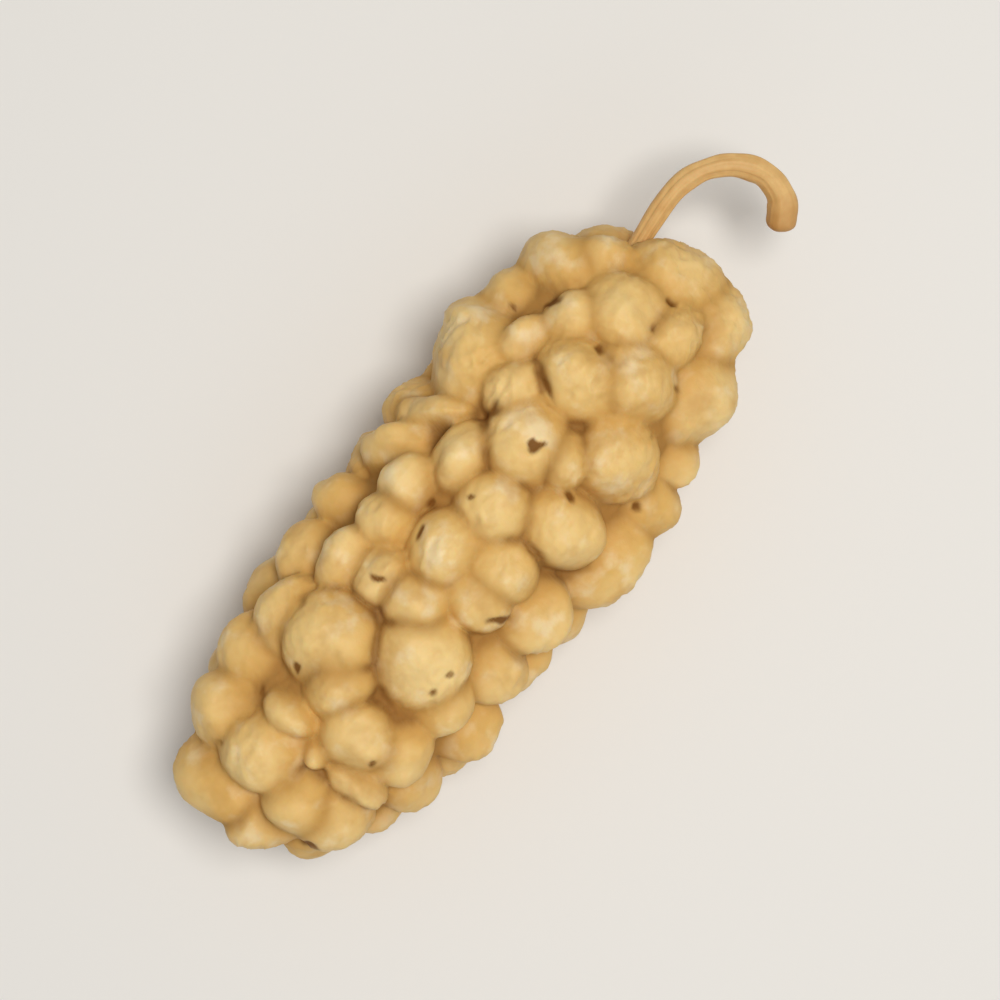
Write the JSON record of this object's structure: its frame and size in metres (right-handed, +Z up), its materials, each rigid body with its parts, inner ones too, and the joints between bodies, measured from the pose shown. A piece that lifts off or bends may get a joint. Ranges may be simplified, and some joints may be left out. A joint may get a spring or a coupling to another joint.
{
  "type": "dried white mulberry",
  "caption": "Dried white mulberry: a blunt oblong fruit of small rounded fleshy lobes packed round a core, with a thin hooked stem at one end, lying on its side.",
  "frame": {"origin": "centre of the part's outline seen from above, on the plane that the fruit rests on", "axes": "+X along the fruit from its free end towards the stem, +Z up from the resting plane, +Y to the left seen along +X"},
  "size_m": [0.0258, 0.0096, 0.0082],
  "materials": {
    "fruit_flesh": "leathery dried flesh, soft waxy sheen",
    "stem_stalk": "dry fibrous, matte"
  },
  "bodies": {
    "root": {"fruit": "fruit_flesh", "stem": "stem_stalk"}
  },
  "joints": []
}
